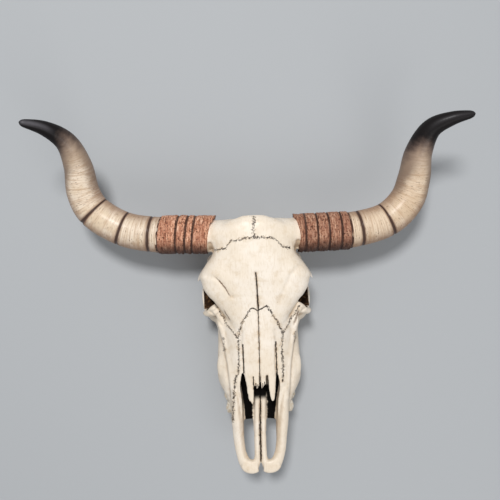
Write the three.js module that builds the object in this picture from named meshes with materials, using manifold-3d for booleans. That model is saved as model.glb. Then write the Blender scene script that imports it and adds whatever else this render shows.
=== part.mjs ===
// A life-size cast of a longhorn cow's skull, without its lower jaw, with a banded horn on each side.
//
// Units are millimetres. The skull lies face up, as it rests on its back teeth and the base of its
// braincase. +Z is up, -Y is towards the nose, and +X is the animal's own left side. Lengths along the
// skull are given as s, the distance from the poll (the ridge between the horns) towards the nose.

import * as THREE from "three";
import { mergeVertices } from "three/addons/utils/BufferGeometryUtils.js";
import Module from "manifold-3d";

const wasm = await Module();
wasm.setup();

// ---------------------------------------------------------------- driving dimensions

const SKULL_LENGTH = 503; // poll to the tip of the muzzle
const SEAM = 0.4; // thin cut that parts two neighbouring pieces
const BONE_SHEET = 5; // thickness of the thin bones: nasals, pterygoids
const FACE_START = 206; // where the face bones meet the braincase bones
const PALATE_END = 397; // front edge of the bony palate
const TEETH_START = 245; // back of the last molar, the one that rests on the ground
const TEETH_END = 387; // front of the first premolar
const TOOTH_TILT = 0.3; // rise of the chewing surface towards the nose, mm per mm
const REST_WEAR = 2; // how far the resting points are worn flat on the ground
const CROWN_HEIGHT = 21; // how far a tooth stands out of the jaw
const HORN_AXIS = { s: 33.5, z: 109 }; // where a horn's axis meets the skull's midline plane
const HORN_CORE_END = 93; // distance of the bony horn stub's end from the midline
const HORN_CORE_RADIUS = 33;
const EYE_RING = { s: 150, z: 91, outside: 108.5 }; // centre of the bony ring, and its outer edge

const BONE = { color: 0xe9dfcf, roughness: 0.5, metalness: 0 };
const HORN = { color: 0xd9c3a0, roughness: 0.4, metalness: 0 };
const BARK = { color: 0x8a4a30, roughness: 0.7, metalness: 0 };
const BLACK_HORN = { color: 0x1c1617, roughness: 0.3, metalness: 0 };

const UP = new THREE.Vector3(0, 0, 1);
const at = (x, s, z) => new THREE.Vector3(x, -s, z);

// ---------------------------------------------------------------- shaping tools

// Reads a smooth curve through named stations: the value of one of their sizes at a distance s.
function sizeAt(stations, size, s) {
  const last = stations.length - 1;
  let i = 0;
  while (i < last - 1 && stations[i + 1].s < s) i++;
  const slope = (j) => {
    const a = stations[Math.max(j - 1, 0)];
    const b = stations[Math.min(j + 1, last)];
    return (b[size] - a[size]) / (b.s - a.s);
  };
  const span = stations[i + 1].s - stations[i].s;
  const t = THREE.MathUtils.clamp((s - stations[i].s) / span, 0, 1);
  const rise = stations[i + 1][size] - stations[i][size];
  const bend = (slope(i) * span - rise) * (1 - t) - (slope(i + 1) * span - rise) * t;
  return stations[i][size] + t * rise + t * (1 - t) * bend;
}

// Merges a geometry's shared corners and returns it as a closed solid with its faces pointing out.
function solid(geometry) {
  const bare = geometry.clone();
  bare.deleteAttribute("normal");
  bare.deleteAttribute("uv");
  const merged = mergeVertices(bare, 1e-3);
  const index = merged.index.array;
  const triangles = [];
  for (let i = 0; i < index.length; i += 3) {
    const [a, b, c] = [index[i], index[i + 1], index[i + 2]];
    if (a !== b && b !== c && c !== a) triangles.push(a, b, c);
  }
  const build = (triVerts) =>
    new wasm.Manifold(
      new wasm.Mesh({
        numProp: 3,
        vertProperties: new Float32Array(merged.attributes.position.array),
        triVerts: new Uint32Array(triVerts),
      }),
    );
  const made = build(triangles);
  return made.volume() > 0 ? made : build(triangles.toReversed());
}

const join = (solids) => solids.reduce((whole, piece) => whole.add(piece));
const cut = (whole, cutters) => cutters.reduce((rest, cutter) => rest.subtract(cutter), whole);

// Turns a solid back into a three.js geometry.
function geometryOf(made) {
  const mesh = made.getMesh();
  const geometry = new THREE.BufferGeometry();
  const corners = new Float32Array(mesh.triVerts.length * 3);
  mesh.triVerts.forEach((v, i) => {
    for (let k = 0; k < 3; k++) corners[i * 3 + k] = mesh.vertProperties[v * mesh.numProp + k];
  });
  geometry.setAttribute("position", new THREE.BufferAttribute(corners, 3));
  geometry.computeVertexNormals();
  return geometry;
}

const mirrored = (geometry) => geometry.clone().scale(-1, 1, 1);
const bothSides = (geometry) => [solid(geometry), solid(mirrored(geometry))];

// A body lofted along the skull. At each distance s its section is two half superellipses: half-width w
// at height mid, rising to top and falling to low, with a squareness for each half.
function loft(stations, { sides = 24, steps = 12, round = 2.2, belly = 2 }) {
  const tube = new THREE.CylinderGeometry(1, 1, 1, sides, steps);
  const position = tube.attributes.position;
  const [first, last] = [stations[0].s, stations.at(-1).s];
  for (let i = 0; i < position.count; i++) {
    const [x, y, z] = [position.getX(i), position.getY(i), position.getZ(i)];
    const s = THREE.MathUtils.lerp(first, last, 0.5 - y);
    const [w, mid] = [sizeAt(stations, "w", s), sizeAt(stations, "mid", s)];
    const power = z > 0 ? round : belly;
    const height = z > 0 ? sizeAt(stations, "top", s) - mid : mid - sizeAt(stations, "low", s);
    const bulge = (v) => Math.sign(v) * Math.abs(v) ** (2 / power);
    position.setXYZ(i, w * bulge(x), -s, mid + height * bulge(z));
  }
  return tube;
}

function ellipsoid(centre, [rx, rs, rz], sides = 14) {
  return new THREE.SphereGeometry(1, sides, Math.round(sides * 0.6))
    .scale(rx, rs, rz)
    .translate(centre.x, centre.y, centre.z);
}

// A round bar along a curve, with its radius given along the curve; flatten makes its section oval.
function bar(curve, radiusAt, { steps, sides, flatten = 1, from = 0, to = 1 }) {
  const profile = [new THREE.Vector2(0, from)];
  for (let i = 0; i <= steps; i++) {
    const t = THREE.MathUtils.lerp(from, to, i / steps);
    profile.push(new THREE.Vector2(radiusAt(t), t));
  }
  profile.push(new THREE.Vector2(0, to));
  const geometry = new THREE.LatheGeometry(profile, sides);
  const position = geometry.attributes.position;
  for (let i = 0; i < position.count; i++) {
    const along = curve.getTangentAt(position.getY(i));
    const across = new THREE.Vector3().crossVectors(along, UP).normalize();
    const upward = new THREE.Vector3().crossVectors(across, along);
    const point = curve
      .getPointAt(position.getY(i))
      .addScaledVector(across, position.getX(i) * flatten)
      .addScaledVector(upward, position.getZ(i));
    position.setXYZ(i, point.x, point.y, point.z);
  }
  return geometry;
}

// A plate cut to an outline in (x, s), then laid between two heights that vary over the skull.
function plate(outline, topAt, lowAt, curveSegments = 5) {
  const geometry = new THREE.ExtrudeGeometry(outline, {
    depth: 1,
    bevelEnabled: false,
    curveSegments,
  });
  const position = geometry.attributes.position;
  for (let i = 0; i < position.count; i++) {
    const [x, s, share] = [position.getX(i), position.getY(i), position.getZ(i)];
    const z = THREE.MathUtils.lerp(lowAt(x, s), topAt(x, s), share);
    position.setXYZ(i, x, -s, z);
  }
  return geometry;
}

const box = (x0, x1, s0, s1, z0, z1) =>
  new THREE.BoxGeometry(x1 - x0, s1 - s0, z1 - z0).translate(
    (x0 + x1) / 2,
    -(s0 + s1) / 2,
    (z0 + z1) / 2,
  );

// ---------------------------------------------------------------- lines of the skull

// Height of the face along the midline, from the poll to the tips of the nasal bones.
const DORSAL_LINE = [
  { s: 0, z: 147 },
  { s: 25, z: 157 },
  { s: 90, z: 158 },
  { s: 150, z: 151 },
  { s: 185, z: 144 },
  { s: 260, z: 139 },
  { s: 330, z: 130 },
  { s: 365, z: 124 },
];
const chewingHeight = (s) => (s - TEETH_START) * TOOTH_TILT - REST_WEAR;
const palateHeight = (s) => chewingHeight(s) + 32;
const nasalTop = (x, s) => sizeAt(DORSAL_LINE, "z", s) - 5 * (x / 32) ** 2;

// ---------------------------------------------------------------- braincase and forehead

// The frontal bones: a broad roof over the braincase, which overhangs the temples and the eyes.
function frontalRoof() {
  const stations = [
    { s: 1, w: 26, mid: 136, top: 147, low: 122 },
    { s: 7, w: 58, mid: 130, top: 152, low: 104 },
    { s: 20, w: 72, mid: 124, top: 157, low: 88 },
    { s: 45, w: 80, mid: 119, top: 158, low: 82 },
    { s: 74, w: 83, mid: 117, top: 158, low: 86 },
    { s: 94, w: 97, mid: 117, top: 158, low: 96 },
    { s: 113, w: 108, mid: 117, top: 156, low: 103 },
    { s: 128, w: 101, mid: 119, top: 154, low: 104 },
    { s: 146, w: 95, mid: 120, top: 151, low: 102 },
    { s: 164, w: 80, mid: 119, top: 147, low: 96 },
    { s: 190, w: 62, mid: 112, top: 143, low: 90 },
    { s: 212, w: 52, mid: 105, top: 141, low: 85 },
  ];
  return solid(loft(stations, { sides: 24, steps: 20, round: 2.6 }));
}

// The braincase under the roof, from the back of the head to between the eyes.
function braincase() {
  const stations = [
    { s: 16, w: 58, mid: 84, top: 138, low: 40 },
    { s: 34, w: 74, mid: 76, top: 145, low: 30 },
    { s: 60, w: 76, mid: 72, top: 148, low: 34 },
    { s: 92, w: 62, mid: 82, top: 148, low: 42 },
    { s: 130, w: 46, mid: 88, top: 146, low: 50 },
    { s: 212, w: 42, mid: 88, top: 136, low: 54 },
  ];
  return solid(loft(stations, { sides: 18, steps: 8, round: 2.4 }));
}

// Bony stubs that carry the horns, with the raised poll between them.
function hornCores() {
  const radius = HORN_CORE_RADIUS;
  const stub = new THREE.CylinderGeometry(radius, radius, 2 * HORN_CORE_END, 18)
    .rotateZ(Math.PI / 2)
    .translate(0, -HORN_AXIS.s, HORN_AXIS.z);
  return [solid(stub), solid(ellipsoid(at(0, 14, 134), [44, 14, 19], 12))];
}

// A closed ring of thin bone round each eye. It leans out, so its lower edge stands widest.
function eyeRing() {
  const [alongRadius, upRadius, thickness] = [34, 31, 7];
  const thin = thickness / 2;
  return new THREE.TorusGeometry(1, thickness / alongRadius, 7, 16)
    .scale(alongRadius, upRadius, (alongRadius * thin) / thickness)
    .applyMatrix4(
      new THREE.Matrix4().makeBasis(
        new THREE.Vector3(0.12, 1, 0).normalize(),
        new THREE.Vector3(-0.14, 0, 1).normalize(),
        new THREE.Vector3(1, -0.12, 0.14).normalize(),
      ),
    )
    .translate(EYE_RING.outside - 2 * thin - 2, -EYE_RING.s, EYE_RING.z);
}

// The cheek arch runs back from under the eye to the hinge of the jaw in front of the ear.
function cheekArch() {
  const curve = new THREE.CatmullRomCurve3([
    at(85, 200, 68),
    at(101, 180, 62),
    at(105, 150, 58),
    at(102, 120, 58),
    at(92, 96, 60),
    at(72, 78, 62),
  ]);
  return bar(curve, () => 8.5, { steps: 7, sides: 8, flatten: 0.62 });
}

// Occipital condyles, ear region and the rods beside them, under the back of the head.
function skullBase() {
  const condyle = ellipsoid(at(25, 24, 25 - REST_WEAR), [17, 19, 25], 12);
  const ear = ellipsoid(at(44, 80, 38), [13, 17, 18], 8);
  const jawHinge = ellipsoid(at(76, 86, 58), [20, 17, 12], 8);
  const rod = new THREE.CatmullRomCurve3([at(58, 46, 56), at(56, 48, 28), at(52, 51, -REST_WEAR)]);
  const besideEar = bar(rod, (t) => 15 - 7 * t, { steps: 3, sides: 8, flatten: 0.7 });
  const pterygoid = box(21, 21 + BONE_SHEET, 138, 236, 31, 66);
  return [condyle, ear, jawHinge, besideEar, pterygoid].flatMap(bothSides);
}

const eyeSocket = () => ellipsoid(at(96, 150, 92), [46, 29, 25], 14);

function foramenMagnum() {
  const [radius, depth] = [15, 44];
  return solid(new THREE.CylinderGeometry(radius, radius, depth, 14).translate(0, -24, 48));
}

// ---------------------------------------------------------------- face and upper jaw

// The upper jaw: a roof that falls away on each side to the cheek swelling, then in to the teeth.
function jawBody() {
  const stations = [
    { s: 172, w: 60, mid: 80, top: 141, low: 50 },
    { s: 200, w: 84, mid: 68, top: 141, low: 34 },
    { s: 240, w: 79, mid: 61, top: 139, low: 22 },
    { s: 272, w: 81, mid: 62, top: 136, low: 27 },
    { s: 302, w: 82, mid: 66, top: 132, low: 36 },
    { s: 330, w: 73, mid: 73, top: 128, low: 46 },
    { s: 362, w: 61, mid: 80, top: 120, low: 58 },
    { s: 398, w: 56, mid: 86, top: 111, low: 72 },
  ];
  return solid(loft(stations, { sides: 22, steps: 14, round: 2, belly: 2.6 }));
}

// The cheekbone swells out under the eye.
const cheekBones = () => bothSides(ellipsoid(at(80, 186, 70), [23, 21, 23], 12));

// Six grinding teeth on each side, the three premolars shorter than the three molars. The front ones
// stand out past the narrowing jaw, so they show from above.
function teeth() {
  const outerEdges = [68, 69, 70, 71, 72, 69];
  const [innerEdge, rootDepth] = [43, 10];
  const count = outerEdges.length;
  const pitch = (TEETH_END - TEETH_START) / count;
  return outerEdges.flatMap((outer, i) => {
    const length = i < count / 2 ? pitch + 3 : pitch - 3;
    const middle = TEETH_START + pitch * i + (i < count / 2 ? length / 2 : pitch - length / 2);
    const crown = box(innerEdge, outer, -length / 2, length / 2, 0, CROWN_HEIGHT + rootDepth)
      .rotateX(-Math.atan(TOOTH_TILT))
      .translate(0, -middle, chewingHeight(middle));
    return bothSides(crown);
  });
}

// Hollow under the palate between the tooth rows, and the nose passage above it.
function palateHollow() {
  const stations = [
    { s: 214, w: 34, mid: 10, top: palateHeight(214) + 4, low: -20 },
    { s: 250, w: 37, mid: 10, top: palateHeight(250), low: -20 },
    { s: 330, w: 35, mid: 24, top: palateHeight(330), low: -20 },
    { s: 420, w: 32, mid: 40, top: palateHeight(420), low: -20 },
  ];
  return solid(loft(stations, { sides: 12, steps: 4, round: 3.5, belly: 6 }));
}

function nosePassage() {
  const stations = [
    { s: 250, w: 12, mid: 88, top: 112, low: 66 },
    { s: 280, w: 30, mid: 92, top: 127, low: palateHeight(280) + 10 },
    { s: 320, w: 36, mid: 96, top: 132, low: palateHeight(320) + 6 },
    { s: 350, w: 39, mid: 98, top: 136, low: palateHeight(350) + 6 },
    { s: 410, w: 42, mid: 100, top: 140, low: palateHeight(410) + 6 },
  ];
  return solid(loft(stations, { sides: 14, steps: 6, round: 3, belly: 3 }));
}

// ---------------------------------------------------------------- nasal bones

// One nasal bone from above: an arc at the brow, a straight side, and a long outer prong at the tip.
function nasalOutline() {
  return nasalBack(0)
    .quadraticCurveTo(24, 366, 18, 358)
    .lineTo(14.5, 330)
    .lineTo(14, 306)
    .lineTo(12.5, 326)
    .lineTo(SEAM / 2, 329);
}

// The part of that outline which lies against the face, let out by a gap.
function nasalBack(gap) {
  const inner = SEAM / 2 - gap;
  return new THREE.Shape()
    .moveTo(inner, 181 - gap)
    .quadraticCurveTo(9, 173 - gap, 17 + gap, 183)
    .lineTo(28 + gap, 212)
    .lineTo(32.5 + gap, 244)
    .lineTo(32.5 + gap, 300)
    .lineTo(28 + gap, 345);
}

const nasalUnderside = (x, s) => nasalTop(x, s) - BONE_SHEET;
const nasalBone = () => plate(nasalOutline(), nasalTop, nasalUnderside);

// The bed that a nasal bone lies in, which opens into the nose at its front.
function nasalBed() {
  const outline = nasalBack(SEAM).lineTo(SEAM / 2 - SEAM, 345);
  return plate(outline, () => 200, (x, s) => nasalUnderside(x, s) - 2 * SEAM);
}

// ---------------------------------------------------------------- front of the muzzle

// One incisive bone from above: an outer bar and a bar beside the midline, joined round a long slot.
// The bar beside the midline runs back over the palate.
function incisiveOutline() {
  return new THREE.Shape()
    .moveTo(0.8, 366)
    .lineTo(0.8, PALATE_END + SEAM)
    .lineTo(0.8, 414)
    .lineTo(0.8, 478)
    .quadraticCurveTo(3, 494, 6, 499)
    .quadraticCurveTo(12, SKULL_LENGTH + 1, 24, 501)
    .quadraticCurveTo(42, 494, 46, 468)
    .lineTo(52, 437)
    .lineTo(55.5, PALATE_END + SEAM)
    .lineTo(38, PALATE_END + SEAM)
    .lineTo(34.5, 425)
    .lineTo(33, 452)
    .quadraticCurveTo(29, 475, 23, 475)
    .quadraticCurveTo(14, 472, 12.5, 448)
    .lineTo(12, 414)
    .lineTo(11.5, PALATE_END + SEAM)
    .lineTo(9, 366);
}

const muzzleShare = (s) => (s - PALATE_END) / (SKULL_LENGTH - PALATE_END);

function incisiveBone() {
  const barCrest = (x, s) => 110 - 18 * muzzleShare(s) - 8 * Math.max(0, 1 - x / 30);
  const underside = (x, s) => (x < 13 && s < 400 ? 90 : 78 + 2 * muzzleShare(s));
  return plate(incisiveOutline(), barCrest, underside, 6);
}

// ---------------------------------------------------------------- horns

// The axis of each horn: straight out, then up past a wide bend, then out again at the tip. Each point
// is out from the midline, back from the horn axis, and up. The two horns differ, as a real pair does:
// the right one spreads wider and ends higher.
const HORN_AXES = {
  left: [
    [84, -1, 109],
    [140, 0.5, 107],
    [195, 3, 104],
    [263, 22, 100],
    [300, 58, 103.5],
    [312, 99, 115],
    [316, 143, 136],
    [333, 182, 165],
    [365, 195.5, 184],
    [403, 200.5, 196],
  ],
  right: [
    [84, 1, 109],
    [140, 3.5, 107.5],
    [195, 5.5, 104],
    [255, 19, 101],
    [309, 55, 105],
    [325, 88, 113],
    [328.5, 138, 134],
    [340, 178, 167],
    [367, 197, 197],
    [402, 204, 228],
  ],
};
const hornCurve = (side) =>
  new THREE.CatmullRomCurve3(
    HORN_AXES[side].map(([x, back, z]) => new THREE.Vector3(x, back - HORN_AXIS.s, z)),
    false,
    "centripetal",
  );

// The horn's radius along its length, as a share of the whole.
const HORN_RADII = [
  { s: 0, radius: 36.5 },
  { s: 0.1, radius: 37.8 },
  { s: 0.2, radius: 36.5 },
  { s: 0.24, radius: 34.5 },
  { s: 0.38, radius: 33.5 },
  { s: 0.5, radius: 34 },
  { s: 0.62, radius: 30 },
  { s: 0.73, radius: 24.6 },
  { s: 0.82, radius: 19 },
  { s: 0.91, radius: 13 },
  { s: 0.97, radius: 8 },
  { s: 1, radius: 4 },
];
const HORN_PIECES = [
  { part: "collar", from: 0, to: 0.22, look: BARK, steps: 4 },
  { part: "shaft", from: 0.22, to: 0.62, look: HORN, steps: 11 },
  { part: "tip", from: 0.62, to: 1, look: BLACK_HORN, steps: 12 },
];

function hornPiece(curve, { from, to, steps }) {
  const gap = SEAM / curve.getLength();
  const radiusAt = (t) => sizeAt(HORN_RADII, "radius", t);
  return bar(curve, radiusAt, { steps, sides: 18, from: from + gap, to });
}

// ---------------------------------------------------------------- assembly

const skull = new THREE.Group();

function addPiece(name, geometry, look) {
  const mesh = new THREE.Mesh(geometry, new THREE.MeshStandardMaterial(look));
  mesh.name = name;
  skull.add(mesh);
}

const REACH = 700;
const belowGround = solid(box(-REACH, REACH, -REACH, REACH, -60, 0));
const aheadOf = (s) => solid(box(-REACH, REACH, s, REACH, -REACH, REACH));
const behind = (s) => solid(box(-REACH, REACH, -REACH, s, -REACH, REACH));
const hornBase = HORN_CORE_END + SEAM;
const betweenHorns = solid(box(-hornBase, hornBase, -REACH, REACH, -REACH, REACH));

const bones = join([
  frontalRoof(),
  braincase(),
  jawBody(),
  ...hornCores(),
  ...cheekBones(),
  ...skullBase(),
]);
const hollows = [...bothSides(eyeSocket()), foramenMagnum(), palateHollow(), nosePassage()];
const rims = [...bothSides(eyeRing()), ...bothSides(cheekArch()), ...teeth()];
const head = join([cut(bones, hollows).simplify(SEAM / 2), ...rims]);
const headBones = cut(head, [...bothSides(nasalBed()), belowGround]);

addPiece("cranium", geometryOf(cut(headBones, [aheadOf(FACE_START)])), BONE);
addPiece(
  "upper_jaw",
  geometryOf(cut(headBones, [behind(FACE_START + SEAM), aheadOf(PALATE_END)])),
  BONE,
);

const HORN_SIDES = [
  { side: "left", put: (geometry) => solid(geometry) },
  { side: "right", put: (geometry) => solid(mirrored(geometry)) },
];
for (const { side, put } of HORN_SIDES) {
  addPiece(`nasal_${side}`, geometryOf(put(nasalBone())), BONE);
  addPiece(`incisive_${side}`, geometryOf(put(incisiveBone())), BONE);
  for (const piece of HORN_PIECES) {
    const horn = cut(put(hornPiece(hornCurve(side), piece)), [betweenHorns]);
    addPiece(`horn_${side}_${piece.part}`, geometryOf(horn), piece.look);
  }
}

// The origin is on the ground under the middle of the whole piece.
const extent = new THREE.Box3().setFromObject(skull);
skull.position.y = -(extent.min.y + extent.max.y) / 2;

export default skull;
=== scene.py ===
# A life-size painted cast of a longhorn cow's skull. It has no lower jaw and lies face up on its
# back teeth and the base of its braincase, with a banded horn on each side.
# Metres, +Z up, -Y towards the nose. Sizes in the tables are millimetres.
import bisect
import math

import bmesh
import bpy
import numpy as np
from mathutils import Matrix, Vector, noise


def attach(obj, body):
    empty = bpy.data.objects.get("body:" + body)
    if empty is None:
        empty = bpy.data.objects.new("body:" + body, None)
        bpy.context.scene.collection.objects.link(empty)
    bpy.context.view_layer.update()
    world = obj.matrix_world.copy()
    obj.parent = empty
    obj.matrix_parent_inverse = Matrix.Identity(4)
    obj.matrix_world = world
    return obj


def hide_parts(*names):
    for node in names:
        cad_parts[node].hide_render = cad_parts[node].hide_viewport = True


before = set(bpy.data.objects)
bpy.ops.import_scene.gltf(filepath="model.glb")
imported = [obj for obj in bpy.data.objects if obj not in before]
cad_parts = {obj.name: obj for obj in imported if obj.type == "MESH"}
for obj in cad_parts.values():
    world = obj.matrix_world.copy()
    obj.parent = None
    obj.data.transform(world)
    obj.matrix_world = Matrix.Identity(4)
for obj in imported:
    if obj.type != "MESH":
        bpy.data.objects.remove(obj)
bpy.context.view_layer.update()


# ---------------------------------------------------------------- skull bone
# The bone of the head: forehead, braincase, eye sockets, cheek arches, upper jaws, nasal bones and
# the slotted muzzle, cast in one. Its forms overlap, are fused into one skin, and are then carved.
# Lengths along the skull run from the poll, the ridge between the horns, towards the nose.
MM = 0.001
POLL = 162.13  # how far behind the origin the poll is
ROUGH_VOXEL = 2.2
BONE_VOXEL = 1.6
BONE_TRIANGLES = 188000
UP = Vector((0, 0, 1))


def at(x, s, z):
    """The point x to the animal's left, s from the poll towards the nose, and z above the ground."""
    return Vector((x, POLL - s, z)) * MM


def size_at(stations, column, s):
    """One column of a table of stations, read at s on a smooth curve through them."""
    last = len(stations) - 1
    i = min(max(bisect.bisect([row[0] for row in stations], s) - 1, 0), last - 1)

    def slope(j):
        a, b = stations[max(j - 1, 0)], stations[min(j + 1, last)]
        return (b[column] - a[column]) / (b[0] - a[0])

    here, there = stations[i], stations[i + 1]
    span = there[0] - here[0]
    t = min(max((s - here[0]) / span, 0), 1)
    rise = there[column] - here[column]
    bend = (slope(i) * span - rise) * (1 - t) - (slope(i + 1) * span - rise) * t
    return here[column] + t * rise + t * (1 - t) * bend


def tube(sides, cuts):
    """A closed tube of radius 1 from z 0 to z 1, cut into rings."""
    bm = bmesh.new()
    half = Matrix.Translation((0, 0, 0.5))
    bmesh.ops.create_cone(
        bm, cap_ends=True, segments=sides, radius1=1, radius2=1, depth=1, matrix=half
    )
    long_edges = [e for e in bm.edges if abs(e.verts[0].co.z - e.verts[1].co.z) > 0.5]
    bmesh.ops.subdivide_edges(bm, edges=long_edges, cuts=cuts, use_grid_fill=True)
    return bm


def rings(bm):
    """The tube's vertices, ring by ring, as (how far along, vertices)."""
    found = {}
    for v in bm.verts:
        found.setdefault(round(v.co.z, 5), []).append(v)
    return sorted(found.items())


def bulge(value, power):
    """One part of a point of a circle, pushed out: power 2 keeps the circle, more makes it squarer."""
    return math.copysign(abs(value) ** (2 / power), value)


def lofted(stations, top_power=2.4, low_power=2.0, sides=72, cuts=70):
    """A form with one section per station: s, half-width, height of the widest line, top, underside."""
    bm = tube(sides, cuts)
    first, last = stations[0][0], stations[-1][0]
    for share, ring in rings(bm):
        s = first + (last - first) * share
        w, mid, top, low = (size_at(stations, column, s) for column in (1, 2, 3, 4))
        for v in ring:
            power, height = (top_power, top - mid) if v.co.y > 0 else (low_power, mid - low)
            v.co = at(w * bulge(v.co.x, power), s, mid + height * bulge(v.co.y, power))
    return bm


def route(points, count=400):
    """Evenly spaced points along a smooth curve through some points, and the curve's length."""
    pts = [np.array(p, float) for p in points]
    pts = [2 * pts[0] - pts[1], *pts, 2 * pts[-1] - pts[-2]]
    fine = []
    for p0, p1, p2, p3 in zip(pts, pts[1:], pts[2:], pts[3:]):
        k01, k12, k23 = (np.linalg.norm(b - a) ** 0.5 for a, b in ((p0, p1), (p1, p2), (p2, p3)))
        m1 = (p1 - p0) / k01 - (p2 - p0) / (k01 + k12) + (p2 - p1) / k12
        m2 = (p2 - p1) / k12 - (p3 - p1) / (k12 + k23) + (p3 - p2) / k23
        for t in np.linspace(0, 1, 40, endpoint=False):
            h = np.array([2 * t**3 - 3 * t**2 + 1, t**3 - 2 * t**2 + t])
            g = np.array([-2 * t**3 + 3 * t**2, t**3 - t**2])
            fine.append(h[0] * p1 + h[1] * k12 * m1 + g[0] * p2 + g[1] * k12 * m2)
    fine = np.array([*fine, pts[-2]])
    length = np.concatenate([[0], np.cumsum(np.linalg.norm(np.diff(fine, axis=0), axis=1))])
    even = np.linspace(0, length[-1], count)
    return np.stack([np.interp(even, length, fine[:, k]) for k in range(3)], 1), length[-1]


def bar(points, widths, sides=28, cuts=60, up=UP, power=2.0):
    """A bar bent along a smooth curve. widths are (share of the way, half-width, half-height)."""
    bm = tube(sides, cuts)
    path, _ = route(points)
    tangents = np.gradient(path, axis=0)
    shares = [row[0] for row in widths]
    for share, ring in rings(bm):
        i = round(share * (len(path) - 1))
        along = Vector(tangents[i]).normalized()
        side = up.cross(along).normalized()
        rise = along.cross(side)
        half_width = np.interp(share, shares, [row[1] for row in widths])
        half_height = np.interp(share, shares, [row[2] for row in widths])
        for v in ring:
            x, y = bulge(v.co.x, power) * half_width, bulge(v.co.y, power) * half_height
            v.co = Vector(path[i]) + (side * x + rise * y) * MM
    return bm


def ball(centre, radii, turn=0.0):
    """A squashed ball, turned in plan by an angle in degrees."""
    bm = bmesh.new()
    place = (
        Matrix.Translation(at(*centre))
        @ Matrix.Rotation(math.radians(turn), 4, "Z")
        @ Matrix.Diagonal([r * MM for r in radii] + [1])
    )
    bmesh.ops.create_uvsphere(bm, u_segments=32, v_segments=20, radius=1, matrix=place)
    return bm


def both_sides(forms):
    """The forms, and a mirrored copy of each for the animal's right side."""
    copies = []
    for bm in forms:
        other = bm.copy()
        bmesh.ops.scale(other, vec=(-1, 1, 1), verts=other.verts)
        bmesh.ops.reverse_faces(other, faces=other.faces)
        copies += [bm, other]
    return copies


def joined(name, forms):
    """One object that holds all the forms."""
    mesh = bpy.data.meshes.new(name)
    whole = bmesh.new()
    for bm in forms:
        bm.to_mesh(mesh)
        whole.from_mesh(mesh)
        bm.free()
    whole.to_mesh(mesh)
    whole.free()
    piece = bpy.data.objects.new(name, mesh)
    bpy.context.scene.collection.objects.link(piece)
    return piece


def finished(piece):
    """The piece with its modifiers made part of its mesh."""
    ready = piece.evaluated_get(bpy.context.evaluated_depsgraph_get())
    mesh = bpy.data.meshes.new_from_object(ready)
    piece.modifiers.clear()
    piece.data = mesh
    return piece


def fused(piece, voxel):
    """The piece's overlapping forms as one closed skin."""
    skin = piece.modifiers.new("skin", "REMESH")
    skin.mode = "VOXEL"
    skin.voxel_size = voxel * MM
    return finished(piece)


def hollowed(piece, hollows):
    """The piece with the hollows cut out of it."""
    for i, hollow in enumerate(hollows):
        cutter = joined(f"hollow_{i}", [hollow])
        cut = piece.modifiers.new("cut", "BOOLEAN")
        cut.operation = "DIFFERENCE"
        cut.solver = "MANIFOLD"
        cut.object = cutter
        finished(piece)
        bpy.data.objects.remove(cutter)
    return piece


# Sections of the three great forms: s, half-width, height of the widest line, top, underside.
frontal_roof = lofted(
    [
        (1, 20, 136, 147, 122),
        (7, 46, 130, 151, 106),
        (18, 66, 124, 156, 92),
        (45, 76, 119, 158, 84),
        (72, 81, 117, 158, 86),
        (90, 94, 117, 158, 96),
        (113, 107, 117, 156, 106),
        (121, 104, 118, 155, 107),
        (130, 102, 119, 153, 107),
        (136, 100.5, 119, 152, 107),
        (143, 96.5, 120, 151, 106),
        (152, 90, 120, 149, 104),
        (160, 82, 120, 148, 102),
        (168, 77, 119, 146, 98),
        (190, 62, 112, 143, 90),
        (212, 52, 105, 141, 85),
    ],
    top_power=2.6,
    cuts=110,
)
braincase = lofted(
    [
        (16, 58, 84, 138, 40),
        (34, 70, 76, 145, 32),
        (60, 70, 74, 148, 36),
        (92, 56, 84, 148, 44),
        (130, 42, 90, 146, 52),
        (212, 40, 88, 136, 56),
    ]
)
jaw_body = lofted(
    [
        (172, 60, 80, 141, 50),
        (200, 83, 68, 141, 34),
        (222, 80.5, 64, 140, 28),
        (240, 80.5, 61, 139, 22),
        (272, 82, 62, 136, 27),
        (302, 83, 66, 132, 36),
        (318, 82.5, 70, 130, 41),
        (330, 78, 73, 128, 46),
        (341, 72.5, 76, 125, 50),
        (362, 62, 80, 120, 58),
        (398, 55, 86, 111, 72),
        (425, 49, 89, 104, 80),
        (440, 44, 90, 98, 84),
    ],
    top_power=2.0,
    low_power=2.6,
    cuts=130,
)
poll_crest = ball((0, 14, 134), (38, 14, 19))
HORN_STUB = (35, 109)
stub = bar(
    [at(-92, *HORN_STUB), at(0, *HORN_STUB), at(92, *HORN_STUB)],
    [
        (0, 33, 33),
        (0.05, 30.5, 32),
        (0.12, 30, 37),
        (0.22, 31, 43),
        (0.35, 32, 46),
        (0.65, 32, 46),
        (0.78, 31, 43),
        (0.88, 30, 37),
        (0.95, 30.5, 32),
        (1, 33, 33),
    ],
    sides=48,
)

# Under the braincase: its keel, the two knobs that meet the neck, the ear bones, the hinges of the
# lower jaw, a spur beside each knob, and the upright plates behind the palate.
keel = bar(
    [at(0, 30, 40), at(0, 90, 42), at(0, 140, 50), at(0, 205, 52)],
    [(0, 14, 7), (0.5, 9, 9), (1, 5, 12)],
)
neck_knob = ball((25, 24, 23), (17, 19, 25))
ear_bone = ball((44, 80, 38), (13, 17, 18))
jaw_hinge = ball((76, 86, 58), (20, 17, 12))
neck_spur = bar(
    [at(58, 46, 56), at(56, 48, 28), at(52, 51, -2)],
    [(0, 10, 15), (1, 6, 8)],
    up=Vector((0, 1, 0)),
)
palate_plate = bar([at(23.5, 136, 50), at(23.5, 236, 50)], [(0, 2.5, 17), (1, 2.5, 19)], power=4)
base = [neck_knob, ear_bone, jaw_hinge, neck_spur, palate_plate]

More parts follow.
